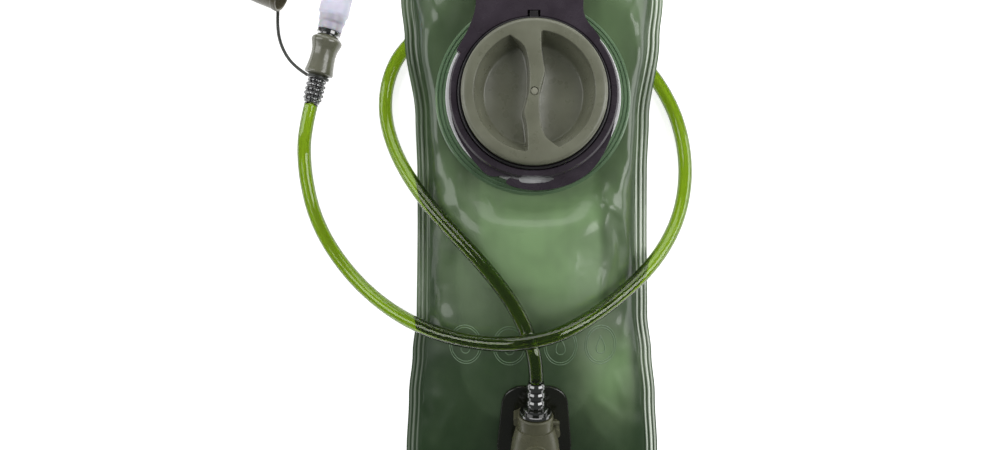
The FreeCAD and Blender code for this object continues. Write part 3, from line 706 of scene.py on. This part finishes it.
def skin(look):
    """Front and back film as one closed skin over the CAD films' heights."""
    columns = spread(count=110, border=0.13, border_count=24)
    rows = [v * LENGTH / 2 for v in spread(count=230, border=0.055, border_count=18)]
    verts, welds, patches = skin_points(columns, rows)
    piece = mesh_object("bladder_skin", verts, skin_faces(len(columns), len(rows)))
    for name, values in (("weld", welds), ("patch", patches)):
        layer = piece.data.attributes.new(name, "FLOAT", "POINT")
        layer.data.foreach_set("value", values)
    punch_holes(piece.data)
    piece.data.set_sharp_from_angle(angle=math.radians(60))
    look.put_on(piece)
    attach(piece, "root")
    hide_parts("front_film", "back_film")
    return piece


def punch_holes(mesh):
    """Opens the two hang holes through both films and joins their rims."""
    bm = bmesh.new()
    bm.from_mesh(mesh)
    for side in (-1, 1):
        centre = Vector((side * HANG_HOLE_X * MM, HANG_HOLE_Y * MM))
        inside = [f for f in bm.faces
                  if (f.calc_center_median().xy - centre).length < HANG_HOLE_R * MM]
        bmesh.ops.delete(bm, geom=inside, context="FACES")
        rim = [e for e in bm.edges if e.is_boundary
               and (e.verts[0].co.xy - centre).length < 2 * HANG_HOLE_R * MM]
        for v in {v for e in rim for v in e.verts}:
            v.co.xy = centre + (v.co.xy - centre).normalized() * HANG_HOLE_R * MM
        bmesh.ops.bridge_loops(bm, edges=rim)
    bmesh.ops.delete(bm, geom=[v for v in bm.verts if not v.link_faces], context="VERTS")
    bm.to_mesh(mesh)
    bm.free()
    mesh.shade_smooth()


RAY_PULL = 0.985          # draws each ray in, so that it meets the film near the outline
RAY_ABOVE = 0.2           # metres
RAY_BELOW = -0.05


def film_height(tree, x, y, start, direction, missed):
    """Height at which a vertical ray meets a film, or the height for a ray that misses it."""
    place = Vector((x * RAY_PULL * MM, y * RAY_PULL * MM, start))
    hit = tree.ray_cast(place, Vector((0, 0, direction)))[0]
    return hit.z / MM if hit else missed


def skin_height(x, y, d, tops, unders, under):
    """Height of the skin's front at (x, y), or of its back where under is set."""
    wave = 1.1 * soft_noise(0.4, y * 0.03, 5 if x > 0 else 8) * fade(d, 6.0, 26.0)
    if under:
        z = film_height(unders, x, y, RAY_BELOW, 1, SEAM_Z - FILM_HALF_T)
        return max(z + wave * min(z / 10, 1.0) - 0.5 * weld_relief(d), 0.0)
    z = film_height(tops, x, y, RAY_ABOVE, -1, SEAM_Z + FILM_HALF_T)
    if math.hypot(x, y - PORT_Y) < PORT_HOLE_R:
        z = PORT_SEAT_Z
    return z + wave + weld_relief(d) + wrinkles(x, y, d)


# film colours: painted shade, the film's middle tint, and painted reflected light
DEEP_SHADE_GREEN = (0.022, 0.050, 0.016)
MID_GREEN = (0.096, 0.148, 0.070)
PALE_LIT_GREEN = (0.175, 0.285, 0.125)
# painted highlight: near-white green painted on the weld ridges for the glints on them
WELD_HIGHLIGHT_GREEN = (0.92, 1.0, 0.86)
# a Mix node's sockets for colours, by their number
MIX_FACTOR = 0
MIX_A = 6
MIX_B = 7
MIX_RESULT = 2


def film_look():
    """Tinted film with painted light: painted shade where the pouch is deep and dark, a painted pale
    patch of reflected light, and painted highlights on the weld lines.
    """
    look = Look("film", Roughness=0.34, IOR=1.42, Transmission_Weight=0.12,
                Coat_Weight=0.4, Coat_Roughness=0.09)
    # the patch attribute carries painted light and shade, the weld attribute the painted weld
    # highlights
    patch = look.node("ShaderNodeAttribute", attribute_name="patch")
    weld = look.node("ShaderNodeAttribute", attribute_name="weld")
    body = look.ramp(patch, [(0.0, DEEP_SHADE_GREEN), (0.35, MID_GREEN), (1.0, PALE_LIT_GREEN)])
    mix = look.node("ShaderNodeMix", data_type="RGBA")
    look.wire(weld, "Fac", mix, MIX_FACTOR)
    look.wire(body, "Color", mix, MIX_A)
    mix.inputs[MIX_B].default_value = (*WELD_HIGHLIGHT_GREEN, 1)
    look.wire(mix, MIX_RESULT, look.shader, "Base Color")
    look.vary_roughness(look.grain(40.0), 0.30, 0.42)
    look.bump(look.grain(900.0, 2.0), 0.01)
    return look


# ---- roundels pressed into the film: a double ring round a plain drop ----------------------
ROUNDEL_XS = [-43.0, -15.0, 17.0, 43.0]
ROUNDEL_Y = -76.0
ROUNDEL_RX = 10.4
ROUNDEL_RY = 12.2
ROUNDEL_POINTS = 72
RINGS = (1.0, 0.88)       # the double ring's two sizes
RELIEF_R = 0.28
RELIEF_SUNK = 0.05        # how far a line's middle lies under the film's face
RELIEF_SIDES = 8


def drop_outline(count=36):
    """Closed outline of a falling drop, point up."""
    out = []
    for i in range(count):
        a = 2 * math.pi * i / count
        narrow = math.sin(a / 2) ** 1.6
        out.append((4.2 * math.sin(a) * narrow, 5.6 * math.cos(a)))
    return out


def roundel_loops():
    """Closed lines of all roundels, seen from above."""
    loops = []
    for centre in ROUNDEL_XS:
        for scale in RINGS:
            loops.append([(centre + x * ROUNDEL_RX * scale, ROUNDEL_Y + y * ROUNDEL_RY * scale)
                          for x, y in circle(1.0, ROUNDEL_POINTS)])
        loops.append([(centre + x, ROUNDEL_Y + y) for x, y in drop_outline()])
    return loops


def raised_line(loop, skin_tree, base):
    """Points and faces of a thin round line that follows the film under a closed loop."""
    verts, faces = [], []
    for i, (x, y) in enumerate(loop):
        (px, py), (qx, qy) = loop[i - 1], loop[(i + 1) % len(loop)]
        run = math.hypot(qx - px, qy - py) or 1.0
        nx, ny = (qy - py) / run, (px - qx) / run
        hit = skin_tree.ray_cast(Vector((x * MM, y * MM, RAY_ABOVE)), Vector((0, 0, -1)))[0]
        z = hit.z / MM - RELIEF_SUNK
        for out, up in circle(RELIEF_R, RELIEF_SIDES):
            verts.append((x + nx * out, y + ny * out, z + up))
    for i in range(len(loop)):
        a = base + i * RELIEF_SIDES
        b = base + ((i + 1) % len(loop)) * RELIEF_SIDES
        for k in range(RELIEF_SIDES):
            m = (k + 1) % RELIEF_SIDES
            faces.append((a + k, b + k, b + m, a + m))
    return verts, faces


def roundels(bladder):
    """The thin raised lines of all roundels as one piece."""
    skin_tree = BVHTree.FromObject(bladder, bpy.context.evaluated_depsgraph_get())
    verts, faces = [], []
    for loop in roundel_loops():
        line_verts, line_faces = raised_line(loop, skin_tree, len(verts))
        verts += line_verts
        faces += line_faces
    piece = mesh_object("film_roundels", verts, faces)
    look = Look("roundel", Roughness=0.3, Coat_Weight=0.4)
    look.colour(look.grain(60.0), (0.11, 0.18, 0.10), (0.17, 0.27, 0.15))
    look.put_on(piece)
    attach(piece, "root")


# ---- filling port ---------------------------------------------------------------------------
CAP_R = 45.0
CAP_TOP_Z = 60.0
CAP_FLOOR_Z = 44.0
CAP_SEGMENTS = 192
PLUG_WELL_R = 2.65
PLUG_WELL_DEPTH = 2.5
RECESS_R_TOP = 37.0
RECESS_R_FLOOR = 31.5
RECESS_WALL_Z = 58.4      # where the pocket's rounded lip ends and its wall starts
# the cap's outside, from the inner edge of its rim down and in to the middle of its underside
CAP_PROFILE = [(42.4, CAP_TOP_Z), (43.4, 59.8), (44.3, 59.2), (44.85, 58.4), (CAP_R, 57.4),
               (CAP_R, 51.0), (44.6, 50.2), (43.1, 50.0), (43.1, 46.2), (44.1, 45.2),
               (44.1, 44.4), (43.1, 43.4), (41.95, 43.4), (41.95, 50.8), (35.7, 50.8),
               (33.1, 43.2), (31.5, 42.0)]
# the pocket's lip: how far out of the pocket, height
POCKET_LIP = [(1.0, CAP_TOP_Z), (0.55, 59.9), (0.2, 59.6), (0.03, 59.1)]
# the S-shaped bar's right side from its upper to its lower end
BAR_SIDE = [(4.2, 36.8), (4.4, 26.0), (5.2, 19.0), (6.4, 12.5), (4.6, 5.0), (3.4, 0.0),
            (3.1, -6.0), (3.3, -14.0), (4.8, -23.0), (7.6, -28.6), (14.8, -33.9)]


def smooth_chain(points, steps=7):
    """Catmull-Rom curve through the points."""
    out = []
    chain = [points[0]] + points + [points[-1]]
    for p0, p1, p2, p3 in zip(chain, chain[1:], chain[2:], chain[3:]):
        for i in range(steps):
            t = i / steps
            out.append(tuple(0.5 * (2 * b + (c - a) * t + (2 * a - 5 * b + 4 * c - d) * t * t
                                    + (3 * b - a - 3 * c + d) * t ** 3)
                             for a, b, c, d in zip(p0, p1, p2, p3)))
    return out + [points[-1]]


def pocket_loop(side, radius, shift):
    """Closed outline of the right pocket: the bar's side, then the recess's arc back up."""
    bar = [(x + shift, y) for x, y in side if math.hypot(x + shift, y) < radius]
    start = math.atan2(bar[-1][1], bar[-1][0])
    end = math.atan2(bar[0][1], bar[0][0])
    steps = 90
    angles = [start + (end - start) * i / steps for i in range(steps + 1)]
    arc = [(radius * math.cos(a), radius * math.sin(a)) for a in angles]
    return resampled(bar, 80) + arc[1:-1]


def resampled(points, count):
    """The same line with evenly spaced points."""
    lengths = [0.0]
    for (x0, y0), (x1, y1) in zip(points, points[1:]):
        lengths.append(lengths[-1] + math.hypot(x1 - x0, y1 - y0))
    out, k = [], 0
    for i in range(count):
        want = lengths[-1] * i / (count - 1)
        while k < len(lengths) - 2 and lengths[k + 1] < want:
            k += 1
        f = (want - lengths[k]) / (lengths[k + 1] - lengths[k])
        (x0, y0), (x1, y1) = points[k], points[k + 1]
        out.append((x0 + (x1 - x0) * f, y0 + (y1 - y0) * f))
    return out


def grown(loop, amount):
    """The loop moved out of the pocket, square to its own line."""
    out = []
    for i, (x, y) in enumerate(loop):
        (px, py), (qx, qy) = loop[i - 1], loop[(i + 1) % len(loop)]
        run = math.hypot(qx - px, qy - py)
        out.append((x + amount * (qy - py) / run, y - amount * (qx - px) / run))
    return out


def pocket_levels():
    """Outlines of the pocket from its rounded lip down to its floor."""
    side = smooth_chain(BAR_SIDE)
    top = pocket_loop(side, RECESS_R_TOP, 0.0)
    foot = pocket_loop(side, RECESS_R_FLOOR, 0.5)
    levels = [(grown(top, out), z) for out, z in POCKET_LIP]
    for f in (0.0, 0.25, 0.5, 0.75, 0.93):
        blend = [(a + (c - a) * f, b + (d - b) * f) for (a, b), (c, d) in zip(top, foot)]
        levels.append((blend, RECESS_WALL_Z + (CAP_FLOOR_Z - RECESS_WALL_Z) * f))
    levels += [(grown(foot, -0.2), CAP_FLOOR_Z + 0.35), (grown(foot, -0.9), CAP_FLOOR_Z)]
    return levels


def port_ring(bm, points, z):
    """Vertices at that height of points given from the port's axis."""
    return [bm.verts.new((x * MM, (y + PORT_Y) * MM, z * MM)) for x, y in points]


def join(bm, a, b):
    """A band of faces between two rings."""
    n = len(a)
    for k in range(n):
        bm.faces.new((a[k], a[(k + 1) % n], b[(k + 1) % n], b[k]))


def cap_outside(bm):
    """The cap's outside and underside; gives back the top ring."""
    rings = [port_ring(bm, circle(r, CAP_SEGMENTS), z) for r, z in CAP_PROFILE]
    for a, b in zip(rings, rings[1:]):
        join(bm, b, a)
    bm.faces.new(rings[-1][::-1])
    return rings[0]


def cap_pocket(bm, turn):
    """The right pocket, or with turn -1 the left one; gives back its lip."""
    rings = [port_ring(bm, [(turn * x, turn * y) for x, y in loop], z)
             for loop, z in pocket_levels()]
    for a, b in zip(rings, rings[1:]):
        join(bm, b, a)
    bm.faces.new(rings[-1])
    return rings[0]


def plug_well(bm):
    """The well that the centre plug sits in; gives back its lip."""
    outline = circle(PLUG_WELL_R, 48)
    lip, foot = [port_ring(bm, outline, z) for z in (CAP_TOP_Z, CAP_TOP_Z - PLUG_WELL_DEPTH)]
    join(bm, foot, lip)
    bm.faces.new(foot)
    return lip


def fill_cap(look):
    """Dished cap: rim, two pockets and the bar left between them."""
    bm = bmesh.new()
    lips = [cap_outside(bm), cap_pocket(bm, 1), cap_pocket(bm, -1), plug_well(bm)]
    edges = []
    for lip in lips:
        for pair in zip(lip[-1:] + lip, lip):
            edges.append(bm.edges.get(pair) or bm.edges.new(pair))
    bmesh.ops.triangle_fill(bm, use_beauty=True, edges=edges, normal=(0, 0, 1))
    bmesh.ops.recalc_face_normals(bm, faces=bm.faces)
    mesh = bpy.data.meshes.new("fill_cap_shell")
    bm.to_mesh(mesh)
    bm.free()
    mesh.shade_smooth()
    mesh.set_sharp_from_angle(angle=math.radians(28))
    piece = link(bpy.data.objects.new("fill_cap_shell", mesh))
    look.put_on(piece)
    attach(piece, "cap")
    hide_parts("fill_cap")


def button_coil(look):
    """The spring under the button, a copy of the CAD spring's mesh; the real spring shortens as the
    button goes down.
    """
    piece = link(bpy.data.objects.new("button_coil", NODES["button_spring"].data.copy()))
    look.put_on(piece)
    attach(piece, "root")
    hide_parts("button_spring")
    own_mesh(piece)


def soft_piece(node, body, look, width, segments):
    """A CAD node with softened edges in its own look."""
    piece = softened(node, width, segments)
    look.put_on(piece)
    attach(piece, body)


# the neck is clear plastic; its near-white base colour is a painted highlight standing in for the
# bright glints, seen as white crescents beside the grip ring and through its finger slot
def clear_neck_glint_look():
    look = Look("clear_neck", Base_Color=(0.95, 0.96, 0.95, 1), Roughness=0.12, IOR=1.46,
                Transmission_Weight=0.2)
    look.bump(look.grain(150.0), 0.05)
    return look


def flange_look():
    look = Look("flange", Roughness=0.16, IOR=1.42, Transmission_Weight=0.35, Coat_Weight=0.5)
    look.colour(look.grain(20.0), (0.16, 0.27, 0.15), (0.25, 0.38, 0.22))
    return look


def smoke_look():
    look = Look("smoke", Roughness=0.2, IOR=1.5, Transmission_Weight=0.2)
    look.colour(look.grain(30.0), (0.008, 0.009, 0.005), (0.016, 0.018, 0.010))
    return look


def steel_look():
    look = Look("steel", Metallic=1.0, Base_Color=(0.55, 0.55, 0.55, 1), Roughness=0.3)
    look.bump(look.grain(500.0, 2.0, (1, 8, 1)), 0.01)
    return look


# ---- looks ------------------------------------------------------------------------------------
olive = plastic("olive_body", (0.068, 0.068, 0.040), (0.105, 0.104, 0.062), 0.3)
olive_cap = plastic("olive_cap", (0.132, 0.135, 0.094), (0.176, 0.181, 0.130), 0.3)
dark_rubber = plastic("dark_rubber", (0.012, 0.014, 0.010), (0.03, 0.034, 0.026), 0.4)
valve_look = plastic("valve_olive", (0.105, 0.106, 0.070), (0.160, 0.160, 0.112), 0.26,
                     Coat_Weight=0.5, Coat_Roughness=0.12)
cover_look = plastic("cover_olive", (0.078, 0.070, 0.042), (0.128, 0.118, 0.078), 0.24)
black_gloss = plastic("black_gloss", (0.004, 0.005, 0.003), (0.012, 0.014, 0.009), 0.12,
                      Coat_Weight=1.0, Coat_Roughness=0.05, Coat_IOR=1.9)
purple = plastic("grip_purple", (0.024, 0.017, 0.024), (0.043, 0.033, 0.044), 0.25)
charcoal = plastic("swivel", (0.010, 0.009, 0.010), (0.018, 0.016, 0.018), 0.32)
plug_look = plastic("cap_plug", (0.20, 0.20, 0.15), (0.27, 0.27, 0.21), 0.2)
button_look = plastic("button", (0.115, 0.112, 0.058), (0.15, 0.146, 0.08), 0.32)
smoke = smoke_look()
steel = steel_look()

# ---- the scene ----------------------------------------------------------------------------------
camera()
studio()
hose_tube, hose_path = hose()
mouth_pieces = [hose_sleeve(), valve_body(valve_look), bite_valve(), dust_cap(cover_look),
                cap_leash(dark_rubber)]
roundels(skin(film_look()))
fill_cap(olive_cap)
soft_piece("grip_frame", "root", purple, 0.9, 3)
soft_piece("swivel_ring", "swivel", charcoal, 0.35, 2)
soft_piece("outlet_base", "root", smoke, 0.5, 3)
soft_piece("outlet_socket", "root", olive, 0.5, 2)
soft_piece("release_button", "button", button_look, 0.3, 2)
button_coil(steel)

clear_neck_glint_look().put_on(NODES["fill_neck"])
flange_look().put_on(NODES["fill_flange"])
plug_look.put_on(NODES["cap_centre_plug"])
dark_rubber.put_on(NODES["leash_ring"], NODES["core_o_ring"], NODES["plug_o_rings"],
                   NODES["cap_gasket"])
black_gloss.put_on(NODES["valve_core"], NODES["hose_plug"])
smoke.put_on(NODES["outlet_backing_ring"])
steel.put_on(NODES["latch_plate"])
